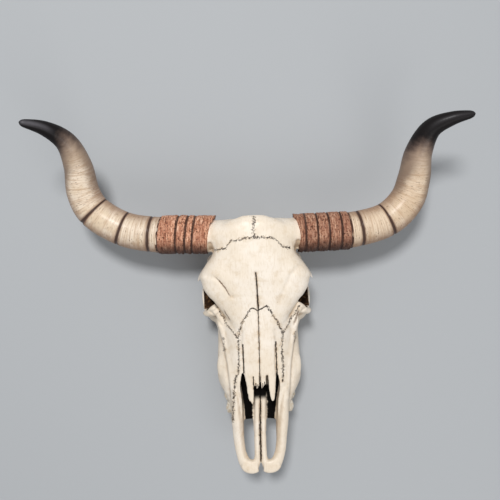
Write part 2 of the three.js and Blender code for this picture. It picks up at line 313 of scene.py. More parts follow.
# The cheek bone, the swelling of the cheek, the shoulder beside the nose, and the ridge that holds
# the teeth.
cheek_bone = ball((77, 180, 70), (25, 28, 23))
cheek_swelling = ball((68.5, 292, 83), (13.5, 32, 16))
nose_shoulder = bar(
    [at(76, 168, 107), at(70, 196, 101), at(62, 230, 99), at(55, 275, 102)],
    [(0, 8, 13), (0.4, 10, 13), (1, 8, 10)],
)
tooth_ridge = bar(
    [at(56, 240, 24), at(56.5, 275, 36), at(56.5, 312, 47), at(56, 350, 58), at(52, 384, 67)],
    [(0, 11, 9), (0.1, 13, 11), (0.85, 12, 11), (1, 7, 7)],
)
face = [cheek_bone, cheek_swelling, nose_shoulder, tooth_ridge]
skull = joined(
    "skull_bone",
    [frontal_roof, braincase, jaw_body, stub, poll_crest, keel, *both_sides([*base, *face])],
)
fused(skull, ROUGH_VOXEL)

# The teeth stand from the last molar to the first premolar. Their chewing faces rise towards the
# nose, and the last ones are worn flat where they rest on the ground.
TEETH_START = 245
TEETH_END = 387
TOOTH_TILT = 0.3
REST_WEAR = 2
PALATE_DEPTH = 32


def chewing_height(s):
    return (s - TEETH_START) * TOOTH_TILT - REST_WEAR


def palate(s):
    return chewing_height(s) + PALATE_DEPTH


# The hollows: eye sockets, the hole for the spinal cord, the roof of the mouth, the air way of the
# nose, and the slots of the palate that open into it.
socket = ball((97, 151, 88), (52, 31, 29), turn=-8)
CORD_HOLE_RADIUS = 15
CORD_HOLE_DEPTH = 52
cord_hole = bmesh.new()
bmesh.ops.create_cone(
    cord_hole,
    cap_ends=True,
    segments=32,
    radius1=CORD_HOLE_RADIUS * MM,
    radius2=CORD_HOLE_RADIUS * MM,
    depth=CORD_HOLE_DEPTH * MM,
    matrix=Matrix.Translation(at(0, 20, 48)) @ Matrix.Rotation(math.pi / 2, 4, "X"),
)
mouth_roof = lofted(
    [
        (214, 34, 10, palate(214) + 4, -20),
        (250, 37, 10, palate(250), -20),
        (330, 35, 24, palate(330), -20),
        (450, 32, 40, palate(430), -20),
    ],
    top_power=3.5,
    low_power=6,
)
nose_passage = lofted(
    [
        (250, 12, 88, 108, 66),
        (284, 30, 92, 118, palate(280) + 10),
        (297, 34, 94, 136, palate(300) + 7),
        (306, 36, 95, 152, palate(306) + 6),
        (325, 38.5, 96, 152, palate(320) + 6),
        (342, 36.5, 98, 152, palate(342) + 6),
        (362, 34, 98, 152, palate(362) + 6),
        (385, 34, 98, 150, palate(385) + 5),
        (450, 33, 100, 150, palate(400) + 5),
    ],
    top_power=4,
    low_power=3,
)
palate_slot = bar([at(22.5, 400, 80), at(22.5, 460, 80)], [(0, 9.5, 40), (1, 9.5, 40)], power=6)
hollowed(
    skull,
    [*both_sides([socket]), cord_hole, mouth_roof, nose_passage, *both_sides([palate_slot])],
)

# Thin bones that stand clear of the great forms: eye rims, cheek arches, nasal bones and muzzle bars.
eye_rim = bar(
    [
        at(92, 121, 107),
        at(98, 119, 92),
        at(103, 125, 73),
        at(105, 138, 61),
        at(107, 151, 59),
        at(106.3, 166, 63),
        at(103.8, 178, 72),
        at(102.8, 183, 80),
        at(104.8, 186.5, 88),
    ],
    [(0, 3.5, 2), (0.15, 3.2, 1.6), (0.85, 3, 1.5), (1, 1.2, 1.2)],
    up=Vector((1, 0, 0)),
    cuts=90,
)
socket_lip = bar(
    [at(104.5, 186.5, 87), at(101, 185, 90), at(95, 181, 97), at(88, 176, 107), at(78, 169.5, 118)],
    [(0, 1.5, 2), (0.15, 3.2, 5), (0.5, 5, 9), (0.8, 5, 9), (1, 4, 6)],
)
# The bone in front of the eye, and the one that closes the socket from below.
tear_bone = bar(
    [at(101.5, 186, 77), at(95, 185, 88), at(84, 181, 101), at(70, 176, 110)],
    [(0, 4, 7), (0.3, 8, 13), (0.7, 9, 14), (1, 8, 12)],
)
socket_floor = bar(
    [at(97, 126, 56), at(96, 145, 57), at(90, 165, 60), at(84, 184, 64)],
    [(0, 5, 3), (0.4, 8, 3.5), (0.7, 13, 5), (1, 13, 8)],
)
brow_spur = bar(
    [at(94, 100, 119), at(102, 109, 118), at(107.5, 116, 116), at(110.5, 122.5, 113)],
    [(0, 6, 6), (0.5, 4, 4), (0.85, 1.6, 2.2), (1, 0.6, 1)],
)
cheek_arch = bar(
    [
        at(85, 200, 66),
        at(101, 182, 60),
        at(104, 150, 54),
        at(100, 120, 55),
        at(92, 96, 58),
        at(72, 78, 61),
    ],
    [(0, 5.5, 9), (0.5, 3.4, 8), (1, 6, 8)],
)

# The height of the skull's top along its length.
DORSAL_LINE = [
    (0, 147),
    (25, 157),
    (90, 158),
    (150, 151),
    (185, 144),
    (260, 139),
    (330, 130),
    (365, 124),
]


def nasal_top(x, s):
    return size_at(DORSAL_LINE, 1, s) + 0.6 - 5 * (x / 32) ** 2


def slab(stations, sides=28, cuts=40):
    """A thin bone under the line of the nose: s, one edge, the other edge, thickness."""
    bm = tube(sides, cuts)
    first, last = stations[0][0], stations[-1][0]
    for share, ring in rings(bm):
        s = first + (last - first) * share
        inner, outer, thick = (
            np.interp(s, [row[0] for row in stations], [row[c] for row in stations])
            for c in (1, 2, 3)
        )
        for v in ring:
            x = (inner + outer) / 2 + (outer - inner) / 2 * bulge(v.co.x, 4)
            v.co = at(x, s, nasal_top(x, s) - thick / 2 + thick / 2 * bulge(v.co.y, 4))
    return bm


# The nasal bones end in a long outer prong on each side, which broke a little differently, and in a
# row of short teeth between the prongs: two edges and how far forward each tooth reaches.
NASAL_CUT = 296
SHORT_TEETH = [
    (-11.3, -8.2, 323),
    (-7.4, -4.6, 329),
    (-3.8, -1.2, 327),
    (1.4, 4.6, 329),
    (5.4, 8.2, 326),
    (9.0, 11.8, 322),
]


def short_tooth(inner, outer, end):
    """A short tooth of the nasal bones, narrowed to a blunt point."""
    middle = (inner + outer) / 2
    return slab(
        [
            (NASAL_CUT, inner, outer, 4.5),
            (end - 7, inner + 0.3, outer - 0.3, 4),
            (end, middle - 0.7, middle + 0.7, 3),
        ]
    )


nasal_plate = slab(
    [
        (190, -2, 20, 6),
        (215, -2, 29, 6),
        (245, -2, 32, 5),
        (290, -2, 31.5, 4.5),
        (302, -2, 30.5, 4.5),
    ]
)
left_prong = slab(
    [
        (NASAL_CUT, 15.4, 31.6, 4.5),
        (325, 16.4, 30, 4.5),
        (342, 18.4, 28.6, 4),
        (350, 20, 27.6, 4),
        (355, 22.5, 25.5, 3),
    ]
)
right_prong = slab(
    [
        (NASAL_CUT, -30.5, -11.4, 4.5),
        (325, -25.6, -12, 4.5),
        (342, -22.6, -12.4, 4),
        (353, -19, -12.6, 3.5),
        (359, -16, -13, 3),
    ]
)
right_splinter = slab([(330, -25.5, -19, 4), (346, -22.8, -18, 3.5), (353, -21.4, -19.6, 3)])
nasals = [
    *both_sides([nasal_plate]),
    left_prong,
    right_prong,
    right_splinter,
    *[short_tooth(*row) for row in SHORT_TEETH],
]

# Each muzzle bone runs out along the cheek, round the front and back beside the midline, and meets
# the other one over a low keel.
muzzle_bar = bar(
    [
        at(48, 330, 106),
        at(45, 380, 101),
        at(43.4, 410, 97),
        at(41.4, 440, 93),
        at(37, 466, 92),
        at(27, 487, 92),
        at(15, 490.5, 92),
        at(8.4, 482, 92),
        at(6.4, 466, 92),
        at(6.3, 430, 95),
        at(6.3, 385, 97),
        at(6.3, 325, 92),
    ],
    [
        (0, 8, 13),
        (0.19, 11.8, 11.5),
        (0.3, 10.4, 9.5),
        (0.39, 10.4, 8),
        (0.46, 12, 7.5),
        (0.505, 10, 7.5),
        (0.54, 7.4, 7.5),
        (0.58, 6, 7.5),
        (0.7, 5.5, 7),
        (0.85, 5.5, 7),
        (1, 5.5, 7),
    ],
    cuts=150,
    power=1.7,
)
muzzle_front = bar(
    [at(6.2, 487, 93), at(20, 488.8, 94), at(34.5, 480.8, 93)],
    [(0, 12, 8), (0.2, 13, 8.5), (0.7, 13, 8.5), (1, 10.5, 8)],
    power=3.4,
)
nose_keel = bar([at(0, 335, 94), at(0, 476, 89)], [(0, 2.6, 6), (1, 2.6, 5)])
thin_bones = joined(
    "thin_bones",
    [
        *both_sides([eye_rim, socket_lip, tear_bone, socket_floor, brow_spur, cheek_arch]),
        *both_sides([muzzle_bar, muzzle_front]),
        nose_keel,
        *nasals,
    ],
)
all_bones = bmesh.new()
all_bones.from_mesh(skull.data)
all_bones.from_mesh(thin_bones.data)
all_bones.to_mesh(skull.data)
all_bones.free()
bpy.data.objects.remove(thin_bones)
fused(skull, BONE_VOXEL)
soften = skull.modifiers.new("soften", "SMOOTH")
soften.factor, soften.iterations = 0.5, 7
finished(skull)


def read(mesh, value="co"):
    """Every vertex's place, in millimetres, or its normal, as one array."""
    flat = np.empty(len(mesh.vertices) * 3, np.float32)
    if value == "normal":
        mesh.vertex_normals.foreach_get("vector", flat)
        return flat.reshape(-1, 3)
    mesh.vertices.foreach_get("co", flat)
    return flat.reshape(-1, 3) / MM


def write(mesh, points):
    mesh.vertices.foreach_set("co", (points * MM).astype(np.float32).ravel())
    mesh.update()


def distance(x, s, path):
    """How far each point is, seen from above, from a path of (x, s) points."""
    nearest = np.full(len(x), 1e9)
    for (x0, s0), (x1, s1) in zip(path, path[1:]):
        run = (x1 - x0) ** 2 + (s1 - s0) ** 2
        share = np.clip(((x - x0) * (x1 - x0) + (s - s0) * (s1 - s0)) / run, 0, 1)
        gap = np.hypot(x - x0 - share * (x1 - x0), s - s0 - share * (s1 - s0))
        nearest = np.minimum(nearest, gap)
    return nearest


def ease(value, low, high):
    share = np.clip((value - low) / (high - low), 0, 1)
    return share * share * (3 - 2 * share)


# Lines and swellings of the face, seen from above, with how far each stands out or is cut in and
# how wide it is. Those of the first table are carved on both sides, the others where they say.
CARVINGS = [
    ([(90, 124), (80, 146)], 1.0, 14),
    ([(83, 176), (76, 205), (66, 246), (60, 285), (57, 330), (54, 352)], 2.4, 4),
    ([(92, 204), (80, 226), (72, 250), (65, 281), (61, 325), (60, 350)], -3.4, 4.5),
    ([(92, 181), (87.8, 183), (81, 189), (76, 199), (70.6, 208)], -1.8, 2.2),
    ([(80, 262), (82, 305)], 2.0, 8),
    ([(0, 3), (20, 6)], 2.6, 11),
    ([(84, 52), (83, 66)], -5, 4.5),
    ([(55, 84), (42, 104)], -1.2, 16),
    ([(31.5, 246), (31.5, 304)], -2.6, 1.6),
]
SIDED_CARVINGS = [
    ([(-90, 112), (-80, 113), (-70, 118), (-61, 129), (-53, 141), (-45, 151)], -1.9, 4.2),
    ([(88, 94), (79, 101), (67, 114), (57, 134), (48, 151), (43, 162)], -1.7, 4.2),
    ([(1, 106), (2.2, 130), (2.4, 150), (1.6, 176)], -3.0, 1.8),
    ([(0.6, 176), (0.6, 326)], -2.0, 1.5),
    ([(0.3, 352), (0.3, 480)], -1.2, 1.3),
    ([(79, 183), (74.6, 197), (70, 210)], -1.6, 1.8),
]
points, normals = read(skull.data), read(skull.data, value="normal")
x, s, z = points[:, 0], POLL - points[:, 1], points[:, 2]
upward = ease(normals[:, 2], 0.05, 0.4) * ease(z, 55, 75)
push = np.zeros(len(x))
for table, places in ((CARVINGS, np.abs(x)), (SIDED_CARVINGS, x)):
    for path, amount, width in table:
        push += amount * np.exp(-((distance(places, s, path) / width) ** 2)) * upward

# A cast is never quite smooth: slow swells, and finer ones over them, as (height, how often).
SWELLS = [(0.5, 0.05), (0.22, 0.22)]
spots = [Vector(p) for p in points.tolist()]
push += [sum(amount * noise.noise(p * pitch) for amount, pitch in SWELLS) for p in spots]
points += normals * push[:, None]
points[:, 2] = np.maximum(points[:, 2], 0)
write(skull.data, points)

# The cast is not quite straight. How far its face leans to the animal's left, along its length.
FACE_LEAN = [
    (-20, 0),
    (100, 0),
    (130, 0.4),
    (160, 1.3),
    (200, 3),
    (340, 3),
    (380, 1.9),
    (420, 0.7),
    (520, 0.3),
]


def lean(s):
    return np.interp(s, [row[0] for row in FACE_LEAN], [row[1] for row in FACE_LEAN])


def leant(piece):
    """Moves the piece sideways by the lean of the face."""
    points = read(piece.data)
    points[:, 0] += lean(POLL - points[:, 1])
    write(piece.data, points)


leant(skull)
thin = skull.modifiers.new("thin", "DECIMATE")
thin.ratio = BONE_TRIANGLES / (2 * len(skull.data.polygons))
finished(skull)
skull.data.shade_smooth()


def neighbour_mean(values, ends, counts):
    """Each vertex's value averaged with its neighbours'."""
    total = values.copy()
    for k in range(values.shape[1]):
        total[:, k] += np.bincount(ends[:, 0], values[ends[:, 1], k], len(values))
        total[:, k] += np.bincount(ends[:, 1], values[ends[:, 0], k], len(values))
    return total / (1 + counts[:, None])


def hollowness(mesh, rounds):
    """How deep each vertex lies under the surface's smoothed shape, in millimetres."""
    ends = np.empty(len(mesh.edges) * 2, np.int32)
    mesh.edges.foreach_get("vertices", ends)
    ends = ends.reshape(-1, 2)
    counts = np.bincount(ends.ravel(), minlength=len(mesh.vertices)).astype(float)
    places, facing = read(mesh).astype(float), read(mesh, value="normal")
    smooth = places
    for _ in range(rounds):
        smooth = neighbour_mean(smooth, ends, counts)
    depth = ((smooth - places) * facing).sum(1)[:, None]
    for _ in range(4):
        depth = neighbour_mean(depth, ends, counts)
    return depth[:, 0]


def store(mesh, name, values):
    layer = mesh.attributes.new(name, "FLOAT", "POINT")
    layer.data.foreach_set("value", np.asarray(values, np.float32))


points, normals = read(skull.data), read(skull.data, value="normal")
s, z = POLL - points[:, 1], points[:, 2]
x = points[:, 0] - lean(s)
side_x = np.abs(x)

# Where the ink of the sutures goes: on what faces up.
store(skull.data, "topside", ease(normals[:, 2], -0.05, 0.25) * ease(z, 70, 84))

# Where the thin ochre paint stays: in the hollows, and on the inner faces of the muzzle bars.
depth = hollowness(skull.data, 30)
facing_in = ease(-normals[:, 0] * np.sign(x), 0.1, 0.7)
inner_facet = facing_in * ease(s, 325, 350) * (1 - ease(s, 470, 488)) * ease(side_x, 20, 27)
store(skull.data, "wash", np.maximum(ease(depth, 0.15, 1.6), 0.75 * inner_facet))

# Where the paint is dark: dark brown paint inside the sockets but not on their rims, and near black
# inside the nose, which is dark paint with painted shade over it. The dark fades out on the side walls,
# on the two rods of the muzzle, and at the front of the floor.
across_socket = np.hypot((side_x - 97) / 52, (s - 152) / 34)
in_socket = ease(1.08 - np.hypot(across_socket, (z - 88) / 30), -0.06, 0.05) * ease(side_x, 50, 60)
in_socket *= 1 - ease(side_x, 104.2, 105.6) * ease(s, 116, 122)
in_socket *= 1 - ease(s, 177, 181)
inside_nose = (1 - ease(side_x, 38, 42)) * ease(s, 262, 276) * ease(z, 60, 66)
inside_nose *= 1 - ease(z, 117, 125)
left_wall = ease(s, 306, 334) * ease(x, 26, 31)
right_wall = 0.75 * ease(s, 300, 330) * ease(-x, 31, 37)
walls = np.maximum(np.where(x > 0, left_wall, right_wall), ease(s, 345, 385))
rods, floor_end = ease(s, 343, 364), ease(s, 404, 408)
inside_nose *= 1 - np.where(side_x < 14.5, rods, np.where(z < 84, floor_end, walls))
store(skull.data, "dark", np.clip(in_socket + inside_nose, 0, 1))


class Wire:
    """A value, place or colour in a material. Sums on wires add the Math nodes that they need."""

    def __init__(self, tree, socket=None):
        self.tree, self.socket = tree, socket

    def node(self, kind, settings=(), sockets=(), output=0):
        """One output of a new node, whose settings are made before its sockets are filled."""
        new = self.tree.nodes.new("ShaderNode" + kind)
        for name, value in dict(settings).items():
            if name == "stops":
                ends = new.color_ramp.elements
                ends[0].position, ends[0].color = value[0]
                ends[1].position, ends[1].color = value[-1]
                for spot, colour in value[1:-1]:
                    ends.new(spot).color = colour
            elif name == "points":
                points = new.mapping.curves[0].points
                points[0].location, points[1].location = value[0], value[-1]
                for point in value[1:-1]:
                    points.new(*point)
                new.mapping.update()
            else:
                setattr(new, name, value)
        for name, value in dict(sockets).items():
            if isinstance(value, Wire):
                self.tree.links.new(value.socket, new.inputs[name])
            else:
                new.inputs[name].default_value = value
        return Wire(self.tree, new.outputs[output])

    def math(self, operation, *values):
        return self.node("Math", {"operation": operation}, dict(enumerate(values)))

    def __add__(self, other):
        return self.math("ADD", self, other)

    __radd__ = __add__

    def __mul__(self, other):
        return self.math("MULTIPLY", self, other)

    def __sub__(self, other):
        return self.math("SUBTRACT", self, other)

    def __rsub__(self, other):
        return self.math("SUBTRACT", other, self)

    def __abs__(self):
        return self.math("ABSOLUTE", self)

    def most(self, other):
        return self.math("MAXIMUM", self, other)

    def ease(self, low, high):
        """0 below low and 1 above high, or the other way round, with a smooth rise between."""
        ends = {"Value": self, "From Min": low, "From Max": high}
        return self.node("MapRange", {"interpolation_type": "SMOOTHSTEP"}, ends)

    def mix(self, under, over, amount):
        """One colour with another over it."""
        return self.node("Mix", {"data_type": "RGBA"}, {0: amount, 6: under, 7: over}, output=2)

    def parts(self):
        """The three parts of a place or a colour."""
        split = self.node("SeparateXYZ", sockets={0: self})
        return [Wire(self.tree, out) for out in split.socket.node.outputs]

    def stretched(self, *scale):
        return self.node("VectorMath", {"operation": "MULTIPLY"}, {0: self, 1: scale})

    def cloud(self, scale, detail=2, roughness=0.5, output=0):
        """Noise from 0 to 1 at each place."""
        sizes = {"Vector": self, "Scale": scale, "Detail": detail, "Roughness": roughness}
        return self.node("TexNoise", sockets=sizes, output=output)

    def line(self, points):
        """The height of a line through (place, height) points, where this wire is the place."""
        start, end = points[0][0], points[-1][0]
        heights = [height for _, height in points]
        low, rise = min(heights), max(max(heights) - min(heights), 0.01)
        shares = [((p - start) / (end - start), (h - low) / rise) for p, h in points]
        way = (self - start) * (1 / (end - start))
        return self.node("FloatCurve", {"points": shares}, {"Value": way}) * rise + low

    def into(self, shader, name):
        self.tree.links.new(self.socket, shader.inputs[name])


def material(name):
    """A new material, a wire to start its nodes from, and its shader."""
    made = bpy.data.materials.new(name)
    made.use_nodes = True
    return made, Wire(made.node_tree), made.node_tree.nodes["Principled BSDF"]


def tone(red, green, blue):
    """A paint's colour from the red, green and blue that a screen shows it with."""
    return (*[((part / 255 + 0.055) / 1.055) ** 2.4 for part in (red, green, blue)], 1)


# The bone is painted ivory, rubbed with thin ochre paint that stays in the hollows, and its sutures
# are drawn over that with a fine brush. A line is a table of (place along it, place across it), then
# its width and how much it wanders. A line that wanders by 1 or more also breaks up.
FOREHEAD_SEAM = [
    (-75, 62.6),
    (-57, 61.2),
    (-51, 56.4),
    (-41, 46.7),
    (-30, 46.1),
    (-17, 41.5),
    (-3, 41.9),
    (16, 41.5),
    (34, 43.1),
    (47, 53.5),
    (57, 60.8),
    (68, 62.1),
]
NASAL_ROOT_SEAM = [
    (-15.5, 177.5),
    (-12, 174.6),
    (-8.5, 173.7),
    (-3, 176.4),
    (0.9, 178.7),
    (4, 176.6),
    (9.4, 174.3),
    (14, 171.4),
    (19, 169.9),
]
LINES_ACROSS = [(FOREHEAD_SEAM, 1.1, 1), (NASAL_ROOT_SEAM, 1.1, 0.3)]
RIGHT_NASAL_SEAM = [
    (176.5, -15.5),
    (184, -19.4),
    (192.2, -24.7),
    (211.9, -34),
    (233.8, -38),
    (251.8, -38.6),
    (297.7, -40.6),
    (309.5, -46.6),
    (341.4, -50.3),
    (398.3, -54),
]
LEFT_NASAL_SEAM = [
    (169.9, 19),
    (178.2, 23.4),
    (187.9, 27.7),
    (199.8, 35.1),
    (211.8, 40.4),
    (223.7, 45.8),
    (236.4, 45.4),
    (247.4, 44.1),
    (296.4, 45),
    (319.9, 42.3),
]
RIGHT_CHEEK_SEAM = [
    (165.5, -80),
    (177.3, -73.9),
    (192.9, -65.4),
    (204.4, -61.2),
    (220.9, -47.3),
    (232.8, -38.3),
]
LEFT_CHEEK_SEAM = [(170.6, 82.5), (187.9, 71.8), (203.4, 61), (219.3, 50.7), (226.4, 45.8)]
LINES_ALONG = [
    ([(1, -1.5), (14, 1), (26, -1.5), (41, -0.5)], 1.1, 1.5),
    (RIGHT_NASAL_SEAM, 1.1, 1),
    (LEFT_NASAL_SEAM, 1.2, 1),
    (RIGHT_CHEEK_SEAM, 1, 1),
    (LEFT_CHEEK_SEAM, 1, 1),
    ([(106, 1), (130.1, 2.2), (150.1, 2.4), (178, 0.9)], 0.9, 0.1),
    ([(178, 0.9), (235, 0.6), (327, -0.6)], 0.5, 0.15),
    ([(242, -30.6), (299.1, -30)], 1, 0.2),
    ([(239, 32.2), (301, 33)], 1, 0.3),
    ([(304, -12.6), (330, -12)], 0.8, 0.2),
    ([(304, 13.6), (330, 13)], 0.8, 0.2),
    ([(317, -7.8), (332, -7.8)], 0.6, 0.2),
    ([(320, -4.1), (332, -4.3)], 0.5, 0.2),
    ([(318, 5), (332, 5)], 0.5, 0.2),
    ([(315, 8.6), (332, 8.6)], 0.6, 0.2),
    ([(338, 0), (400, 0.3), (480, 0)], 1.2, 0.5),
    ([(230.9, -68), (260.9, -67)], 0.6, 1.4),
    ([(224.2, 71), (248.2, 70)], 0.7, 1.2),
]
WANDER = 20  # how far the noise moves a line that wanders by 1
PRESSURE = 2  # how much the noise widens a line
FINENESS = 0.65  # how much narrower than in its table a line is drawn
# Brown marks in the carved folds, partly brown paint and partly painted shade in the creases: (place
# along the skull, place across it), then their width.
STAINS_AND_SHADE = [
    ([(183, 79), (197, 74.6), (210, 70)], 2),
    ([(176, -64), (197, -53)], 1.5),
    ([(114, -73), (130, -60), (150, -49)], 1.6),
    ([(146, 2.2), (176, 1.4)], 1.6),
    ([(340, 0), (480, 0)], 1.3),
]
bone_paint, wire, shader = material("bone_paint")
place = wire.node("TexCoord", output="Object")
x, y, _ = place.parts()
s = POLL - y * (1 / MM)
x = x * (1 / MM) - s.line(FACE_LEAN)
topside = wire.node("Attribute", {"attribute_name": "topside"}, output="Fac")
wash = wire.node("Attribute", {"attribute_name": "wash"}, output="Fac")
dark = wire.node("Attribute", {"attribute_name": "dark"}, output="Fac")
shake_x, shake_s, shake_ink = place.cloud(170, 4, 0.85, output="Color").parts()
shake_x, shake_s = (shake_x - 0.5) * WANDER, (shake_s - 0.5) * WANDER
breaks = place.cloud(260, 1).ease(0.38, 0.5)
ink = None
halo = None
for lines, along, across, shake_along, shake_across in (
    (LINES_ACROSS, x, s, shake_x, shake_s),
    (LINES_ALONG, s, x, shake_s, shake_x),
):
    for path, width, shake in lines:
        way = along + shake_along * (shake * 0.5)
        gap = abs(across + shake_across * shake - way.line(path))
        start, end = path[0][0], path[-1][0]
        ends = along.ease(start - 1, start + 1) * along.ease(end + 1, end - 1)
        drawn = (width + shake_ink * PRESSURE - FINENESS - gap).ease(-0.4, 0.3) * ends
        if shake >= 1:
            drawn = drawn * (breaks * 0.6 + 0.4)
        near = gap.ease(5, 0.5) * ends
        ink = drawn if ink is None else ink.most(drawn)
        halo = near if halo is None else halo.most(near)
stain_and_shade = None
for path, width in STAINS_AND_SHADE:
    start, end = path[0][0], path[-1][0]
    near = abs(x + shake_x * 0.35 - s.line(path)).ease(width * 1.6, 0)
    near = near * s.ease(start - 4, start + 6) * s.ease(end + 4, end - 6)
    stain_and_shade = near if stain_and_shade is None else stain_and_shade.most(near)
ink, halo, stain_and_shade = ink * topside, halo * topside, stain_and_shade * topside

drift = place.cloud(11, 3, 0.6)
mottle = place.cloud(60, 5, 0.65)
fibre = place.stretched(1, 0.16, 1).cloud(420, 3, 0.6)
pits = place.cloud(700, 1).ease(0.7, 0.78) * mottle.ease(0.5, 0.62)
colour = wire.mix(tone(243, 231, 216), tone(236, 221, 201), drift.ease(0.36, 0.6))
colour = wire.mix(colour, tone(229, 209, 182), s.ease(230, 500) * 0.12)
colour = wire.mix(colour, tone(214, 192, 162), mottle.ease(0.48, 0.72) * 0.5)
colour = wire.mix(colour, tone(220, 202, 178), fibre.ease(0.48, 0.68) * 0.45)
colour = wire.mix(colour, tone(168, 132, 86), wash * (mottle * 0.9 + 0.1) * 0.95)
colour = wire.mix(colour, tone(176, 140, 92), halo * mottle.ease(0.42, 0.66) * 0.5)
# Brown in the carved folds: paint, with painted shade in the creases.
colour = wire.mix(colour, tone(92, 60, 34), stain_and_shade * (mottle * 1.1 + 0.3))
colour = wire.mix(colour, tone(120, 88, 60), pits * 0.5)
colour = wire.mix(colour, tone(40, 28, 20), ink * 0.95)
# Dark brown paint in the sockets; inside the nose near black, dark paint with painted shade over it.
deep_paint_and_shade = wire.mix(tone(50, 35, 24), tone(104, 76, 50), place.cloud(150, 4).ease(0.46, 0.66))
deep_paint_and_shade = wire.mix(deep_paint_and_shade, tone(10, 7, 6), s.ease(235, 255))
colour = wire.mix(colour, deep_paint_and_shade, dark.ease(0.1, 0.9))
colour.into(shader, "Base Color")
(0.5 + mottle * 0.2 + ink * 0.2 + dark * 0.3).into(shader, "Roughness")
(0.4 - dark * 0.4 - ink * 0.2).into(shader, "Coat Weight")
shader.inputs["Coat Roughness"].default_value = 0.34
shader.inputs["Specular IOR Level"].default_value = 0.1
relief = fibre * 0.25 + mottle * 0.8 - ink * 0.9 - pits * 0.8 - stain_and_shade * 0.4
wire.node("Bump", {}, {"Strength": 0.35, "Distance": 0.0008, "Height": relief}).into(shader, "Normal")

skull.data.materials.clear()
skull.data.materials.append(bone_paint)
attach(skull, "root")
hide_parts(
    "cranium", "upper_jaw", "nasal_left", "nasal_right", "incisive_left", "incisive_right"
)


# ---------------------------------------------------------------- cheek teeth
# Six grinding teeth a side stand close together in the upper jaw. They are cast with the bone, have
# upright ribs on the cheek side, and are painted a yellower white with brown in the gaps.
TOOTH_INNER = 43  # how far from the midline the tongue side of every tooth is
TOOTH_OUTERS = [68, 69, 70, 70, 69.5, 66]  # and the cheek side, from the back tooth forward
TOOTH_PITCH = (TEETH_END - TEETH_START) / len(TOOTH_OUTERS)
crowns = []
for i, outer in enumerate(TOOTH_OUTERS):
    crown = tube(64, 26)
    middle = TEETH_START + TOOTH_PITCH * (i + 0.5)
    for share, ring in rings(crown):
        narrowing = 1 - 0.13 * (1 - min(share / 0.12, 1)) ** 2
        for v in ring:
            turn = math.atan2(v.co.y, v.co.x)
            cheek = max(0, math.cos(turn))
            rib = 1 + 0.07 * cheek * math.cos(turn * 7.5) - 0.05 * (1 - cheek) * math.cos(turn * 4) ** 2
            inside = math.hypot(v.co.x, v.co.y)
            across = (outer - TOOTH_INNER) / 2 * bulge(math.cos(turn), 3) * rib * narrowing * inside
            length = TOOTH_PITCH * 0.495 * bulge(math.sin(turn), 3.4) * narrowing * inside
            bite = 1.6 * math.cos(across * 0.55) * math.cos(length * 0.5) if share < 0.01 else 0
            foot = chewing_height(middle + length) + bite - 1.2
            height = foot + share * (palate(middle) + 12 - foot)
            v.co = at((outer + TOOTH_INNER) / 2 + across, middle + length, max(height, 0))
    crowns.append(crown)
teeth = joined("cheek_teeth", both_sides(crowns))
leant(teeth)
teeth.data.shade_smooth()

tooth_paint, wire, shader = material("tooth_paint")
place = wire.node("TexCoord", output="Object")
_, y, z = place.parts()
s, z = POLL - y * (1 / MM), z * (1 / MM)
phase = (s - TEETH_START) * (1 / TOOTH_PITCH)
gap = abs(phase.math("FRACT", phase) - 0.5)
folds = place.stretched(1, 1, 0.12).cloud(190, 3, 0.6)
colour = wire.mix(tone(222, 213, 198), tone(206, 188, 162), folds.ease(0.42, 0.66))
colour = wire.mix(colour, tone(104, 72, 44), gap.ease(0.42, 0.5) * 0.85)
worn = (z - (s - TEETH_START) * TOOTH_TILT).ease(3, -2)
colour = wire.mix(colour, tone(140, 104, 66), worn * folds.ease(0.4, 0.55) * 0.7)
colour.into(shader, "Base Color")
(0.3 + folds * 0.25).into(shader, "Roughness")
wire.node("Bump", {}, {"Strength": 0.4, "Distance": 0.0008, "Height": folds}).into(shader, "Normal")
teeth.data.materials.append(tooth_paint)
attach(teeth, "root")
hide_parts("upper_jaw")


# ---------------------------------------------------------------- horns
# Each horn is one hollow cast, swept out, up and out again to a blunt point. A few cut rings run
# round it, and it is airbrushed from cream through brown to near black at the tip.
# The two sides differ a little, so their tables hold the left side's values under 1 and the right
# side's under -1. A horn's line runs out from the skull as (x, how far behind the root, z).
SIDES = {1: "left", -1: "right"}
HORN_ROOT = 33.5
HORN_START = 90  # where a horn's own tube begins, inside the end of its collar
HORN_LINES = {
    1: [
        (84, -1, 109),
        (140, 0.5, 107),
        (195, 3, 104),
        (263, 22, 100),
        (300, 58, 103.5),
        (312, 99, 115),
        (316, 143, 136),
        (333, 182, 165),
        (365, 195.5, 184),
        (403, 200.5, 196),
    ],
    -1: [
        (84, 1, 109),
        (140, 3.5, 107.5),
        (195, 5.5, 104),
        (255, 19, 101),
        (309, 55, 105),
        (325, 88, 113),
        (328.5, 138, 134),
        (340, 178, 167),
        (367, 197, 197),
        (402, 203.5, 228),
    ],
}
# A horn's radius at each share of the way, and where its cut rings are.
HORN_RADII = [
    (0, 35),
    (0.1, 35),
    (0.2, 34.6),
    (0.24, 34.5),
    (0.38, 33.5),
    (0.5, 33),
    (0.62, 30),
    (0.73, 24.6),
    (0.82, 19),
    (0.91, 13),
    (0.97, 8.4),
    (0.985, 6.8),
    (0.995, 4.4),
    (1, 1.2),
]
HORN_RINGS = {1: [121, 178], -1: [115, 172, 237]}
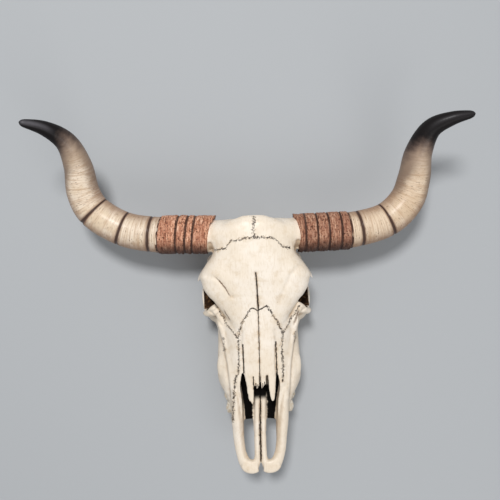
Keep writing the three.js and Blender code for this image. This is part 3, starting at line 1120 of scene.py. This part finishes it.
# Where the cream ends, where the brown is deepest, and where the black begins. The dark paint reaches
# further down one side by the slant, and down both sides by the edge value; slant and edge value paint
# shade over the airbrushed fade. The lee is painted shade, a darker side that starts so far before the
# end of the cream, and the sheen is a painted highlight, a pale streak along the top of the tip.
HORN_FADES = {1: (302, 346, 360), -1: (347, 385, 404)}
FADE_SHADE_SLANTS = {1: 0.3, -1: -0.15}
FADE_SHADE_EDGES = {1: 1.0, -1: 1.3}
SHADE_SIDE_STARTS = {1: 38, -1: 70}
TIP_HIGHLIGHTS = {1: 0.1, -1: 0.62}
CREAMS = {1: ((228, 206, 180), (214, 188, 158)), -1: ((236, 218, 196), (224, 202, 174))}
horn_routes = {
    side: route([at(x, HORN_ROOT - back, z) for x, back, z in line], 1200)
    for side, line in HORN_LINES.items()
}


def horn_tube(side, start, end, radius_at, sides=96, step=1.0):
    """A stretch of a horn between two distances along it. Its attribute "straight" is the place
    that each point would have if the horn were straight."""
    bm = tube(sides, round((end - start) / step))
    path, length = horn_routes[side]
    tangents = np.gradient(path, axis=0)
    straight = bm.verts.layers.float_vector.new("straight")
    for share, ring in rings(bm):
        reach = start + (end - start) * share
        i = min(round(reach * MM / length * (len(path) - 1)), len(path) - 1)
        way = Vector(tangents[i]).normalized()
        across = UP.cross(way).normalized()
        rise = way.cross(across)
        for v in ring:
            turn = math.atan2(v.co.y, v.co.x)
            radius, shift = radius_at(reach, turn)
            radius *= math.hypot(v.co.x, v.co.y)
            back, lift = radius * math.cos(turn), radius * math.sin(turn)
            v[straight] = (back, lift, reach + shift)
            v.co = Vector(path[i]) + (across * back + rise * lift + way * shift) * MM
    if side < 0:
        bmesh.ops.scale(bm, vec=(-1, 1, 1), verts=bm.verts)
        bmesh.ops.reverse_faces(bm, faces=bm.faces)
    return bm


def horn_paint(side):
    """Cream horn with fine growth lines, dark cut rings, brown edges that are partly painted shade,
    painted shade down one side, a black tip, and a painted highlight along the tip.
    """
    paint, wire, shader = material(f"horn_paint_{SIDES[side]}")
    straight = wire.node("Attribute", {"attribute_name": "straight"}, output="Vector")
    back, lift, along = straight.parts()
    cream_end, brown, black = HORN_FADES[side]
    drift = straight.cloud(0.016, 3, 0.6)
    mottle = straight.stretched(0.5, 0.5, 1).cloud(0.12, 4, 0.65)
    growth = straight.stretched(0.05, 0.05, 1).cloud(0.42, 4, 0.7)
    scratch = straight.stretched(0.25, 0.25, 1).cloud(0.6, 2, 0.6).ease(0.6, 0.68)
    pale, warm = (tone(*rgb) for rgb in CREAMS[side])
    colour = wire.mix(pale, warm, drift.ease(0.4, 0.62))
    colour = wire.mix(colour, tone(186, 152, 120), growth.ease(0.45, 0.62) * 0.6)
    colour = wire.mix(colour, tone(206, 178, 148), mottle.ease(0.5, 0.7) * 0.5)
    # Brown on both sides seen from above: airbrushed paint, and painted shade where the horn turns away
    # from the light.
    edge_paint_and_shade = (abs(back) + mottle * 12 - 6).ease(12, 35)
    colour = wire.mix(colour, tone(140, 100, 74), edge_paint_and_shade * 0.7)
    colour = wire.mix(colour, tone(104, 70, 48), scratch * 0.6)
    cut, near = None, None
    for ring in HORN_RINGS[side]:
        gap = abs(along + mottle * 2.4 - 1.2 - ring)
        line, halo = gap.ease(3.9, 1.5), gap.ease(7, 2)
        cut, near = (line, halo) if cut is None else (cut.most(line), near.most(halo))
    colour = wire.mix(colour, tone(128, 92, 70), near * 0.65)
    colour = wire.mix(colour, tone(66, 44, 36), cut * 0.93)
    # Darker on both sides near the fade: airbrushed paint, and painted shade where the horn turns away
    # from the light.
    rim_paint_and_shade = (abs(back) + (along - cream_end) * 0.075 + mottle * 6 + 4.6).ease(17, 33)
    rim_paint_and_shade = rim_paint_and_shade * along.ease(cream_end - 112, cream_end + 28)
    colour = wire.mix(colour, tone(74, 54, 45), rim_paint_and_shade * 0.8)
    # Painted shade down one side of the horn.
    painted_shade_side = (back * side + (along - cream_end) * 0.12 + mottle * 8 + 5).ease(8, 31)
    painted_shade_side = painted_shade_side * along.ease(cream_end - SHADE_SIDE_STARTS[side], cream_end + 10)
    colour = wire.mix(colour, tone(64, 46, 38), painted_shade_side * 0.88)
    # The slant and the edges move the fade down one side and down both edges: painted shade over the
    # airbrushed fade.
    edges = (abs(back) - 7).most(0) * FADE_SHADE_EDGES[side]
    reach = along + mottle * 26 - 13 + back * FADE_SHADE_SLANTS[side] + edges
    colour = wire.mix(colour, tone(166, 142, 122), reach.ease(cream_end - 35, brown) * 0.85)
    colour = wire.mix(colour, tone(84, 68, 62), reach.ease(brown - 20, black) * 0.9)
    colour = wire.mix(colour, tone(17, 14, 15), reach.ease(brown + 2, black + 16) * 0.98)
    # A painted highlight: a pale streak along the top of the black tip, where the light would glint.
    painted_highlight = abs(back - 1).ease(7.5, 0) * lift.ease(0, 5) * along.ease(black + 8, black + 45)
    colour = wire.mix(colour, tone(104, 101, 105), painted_highlight * (mottle * 0.8 + 0.6) * TIP_HIGHLIGHTS[side])
    colour.into(shader, "Base Color")
    (0.5 + mottle * 0.2).into(shader, "Roughness")
    (0.35 - reach.ease(brown, black + 20) * 0.2).into(shader, "Coat Weight")
    shader.inputs["Coat Roughness"].default_value = 0.3
    shader.inputs["Specular IOR Level"].default_value = 0.12
    relief = growth * 0.8 + mottle * 0.4 - cut * 1.2 - scratch * 0.6
    wire.node("Bump", {}, {"Strength": 0.4, "Distance": 0.0009, "Height": relief}).into(shader, "Normal")
    return paint


for side, word in SIDES.items():
    horn_length = horn_routes[side][1] / MM

    def horn_radius(reach, turn):
        """The radius with the cut rings. Nothing is moved along the horn."""
        radius = size_at(HORN_RADII, 1, reach / horn_length)
        for ring in HORN_RINGS[side]:
            radius -= 1.4 * math.exp(-(((reach - ring) / 1.4) ** 2))
        return radius, 0

    horn = joined(f"horn_{word}", [horn_tube(side, HORN_START, horn_length, horn_radius)])
    horn.data.shade_smooth()
    horn.data.materials.append(horn_paint(side))
    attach(horn, "root")
    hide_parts(f"horn_{word}_shaft", f"horn_{word}_tip")


# ---------------------------------------------------------------- horn collars
# Next to the skull each horn is cast with a rough, reddish sleeve like bark, cut round by deep
# grooves. Its torn inner edge laps over the end of the bone. Places are distances along the horn.
COLLAR_START = 5
COLLAR_RADIUS = 37.4
COLLAR_GROOVES = {1: [13.7, 35.9, 58, 81.5, 100.5], -1: [31, 44.5, 62, 97]}
COLLAR_TILTS = {1: 0, -1: 0.08}  # how much the grooves slant across the horn
COLLAR_TONES = {1: 0.92, -1: 1.08}  # how light the bark is painted


def collar_paint(side):
    """Reddish brown bark: light fibres that run round it, dark grooves and pits, and a darker fringe
    with painted shade on the side towards the nose.
    """
    paint, wire, shader = material(f"collar_paint_{SIDES[side]}")
    straight = wire.node("Attribute", {"attribute_name": "straight"}, output="Vector")
    back, _, along = straight.parts()
    fibre = straight.stretched(0.13, 0.13, 1).cloud(0.46, 4, 0.75)
    fleck = straight.stretched(0.75, 0.75, 1).cloud(0.42, 3, 0.75)
    drift = straight.cloud(0.05, 3, 0.6)
    shade = COLLAR_TONES[side]
    bark = [
        (0.39, tone(86 * shade, 41 * shade, 24 * shade)),
        (0.46, tone(170 * shade, 107 * shade, 76 * shade)),
        (0.53, tone(215 * shade, 158 * shade, 126 * shade)),
        (0.6, tone(236 * shade, 190 * shade, 160 * shade)),
    ]
    colour = wire.node("ValToRGB", {"stops": bark}, {"Fac": fibre * 0.65 + fleck * 0.35})
    colour = wire.mix(colour, tone(168 * shade, 108 * shade, 82 * shade), drift.ease(0.42, 0.62) * 0.55)
    pits = fleck.ease(0.42, 0.34)
    cut = None
    for groove in COLLAR_GROOVES[side]:
        line = abs(along + back * COLLAR_TILTS[side] + fleck * 4 - 2 - groove).ease(2.7, 0.8)
        cut = line if cut is None else cut.most(line)
    # Darker on the side towards the nose: a darker fringe, and painted shade on the side away from the
    # light.
    rim_paint_and_shade = (fleck * 20 - 10 - back).ease(10, 36)
    colour = wire.mix(colour, tone(56, 28, 19), rim_paint_and_shade * 0.88)
    colour = wire.mix(colour, tone(44, 22, 16), pits * 0.8)
    colour = wire.mix(colour, tone(54, 28, 20), cut * 0.88)
    colour.into(shader, "Base Color")
    (0.5 + fibre * 0.25).into(shader, "Roughness")
    relief = fibre * 1.6 + fleck * 1.2 - pits - cut
    wire.node("Bump", {}, {"Strength": 0.9, "Distance": 0.0017, "Height": relief}).into(shader, "Normal")
    return paint


for side, word in SIDES.items():
    outer_end = COLLAR_GROOVES[side][-1]

    def collar_radius(reach, turn):
        """The radius with the grooves and the rough bark, and how far the torn edge is moved."""
        radius = COLLAR_RADIUS - 2.0 * max(0, (reach - outer_end + 2) / 4)
        for groove in COLLAR_GROOVES[side]:
            radius -= 1.8 * math.exp(-(((reach - groove) / 1.7) ** 2))
        spot = Vector((math.cos(turn) * 1.4, math.sin(turn) * 1.4, reach * 0.13 + side * 7))
        radius += 0.7 * noise.noise(spot * 1.5)
        hairs = noise.noise(Vector((spot.x * 2.5, spot.y * 2.5, reach * 0.7)))
        radius += hairs * (0.6 + 1.1 * max(0, -math.cos(turn)))
        hold = max(0, 1 - reach / 30) ** 0.5
        back, front = max(0, math.cos(turn)), max(0, -math.cos(turn))
        torn = noise.noise(Vector((math.cos(turn), math.sin(turn), side * 3.3)) * 2.6)
        torn += 0.5 * noise.noise(Vector((math.cos(turn), math.sin(turn), side * 5.1)) * 8)
        tilt = COLLAR_TILTS[side] * COLLAR_RADIUS * math.cos(turn)
        return radius, hold * (1 - 14 * back**1.5 - 5 * front**1.5 + 4 * torn) - tilt

    collar = joined(
        f"horn_collar_{word}",
        [horn_tube(side, COLLAR_START, outer_end + 2, collar_radius, sides=128, step=0.75)],
    )
    collar.data.shade_smooth()
    collar.data.materials.append(collar_paint(side))
    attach(collar, "root")
    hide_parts(f"horn_{word}_collar")


# ---------------------------------------------------------------- floor, light and camera
# A plain pale floor. The light comes from above the poll, so shadows fall towards the nose.
floor_mesh = bpy.data.meshes.new("floor")
floor_bm = bmesh.new()
bmesh.ops.create_grid(floor_bm, x_segments=1, y_segments=1, size=6)
floor_bm.to_mesh(floor_mesh)
floor_bm.free()
floor = bpy.data.objects.new("floor", floor_mesh)
bpy.context.scene.collection.objects.link(floor)
floor_paint, wire, shader = material("floor_paint")
shader.inputs["Base Color"].default_value = tone(176, 178, 180)
shader.inputs["Roughness"].default_value = 0.85
floor_mesh.materials.append(floor_paint)

camera = bpy.data.objects.new("camera", bpy.data.cameras.new("camera"))
bpy.context.scene.collection.objects.link(camera)
bpy.context.scene.camera = camera
bpy.context.scene.view_settings.view_transform = "Standard"
camera.data.lens = 42.7
camera.location = (-0.008, 0.0977, 1.257)
camera.rotation_euler = (0, 0, math.radians(-1.8))


def lamp(name, place, aim, size, power):
    data = bpy.data.lights.new(name, "AREA")
    data.shape, data.size, data.energy = "DISK", size, power
    light = bpy.data.objects.new(name, data)
    light.location = place
    light.rotation_euler = (Vector(place) - Vector(aim)).to_track_quat("Z", "Y").to_euler()
    bpy.context.scene.collection.objects.link(light)


lamp("key", (-0.35, 1.45, 3.5), (0, 0, 0), 0.8, 98)
lamp("fill", (0.9, -1.6, 1.8), (0, 0, 0), 1.6, 14)
world = bpy.data.worlds.new("studio")
world.use_nodes = True
world.node_tree.nodes["Background"].inputs["Color"].default_value = (0.86, 0.9, 0.94, 1)
world.node_tree.nodes["Background"].inputs["Strength"].default_value = 0.38
bpy.context.scene.world = world
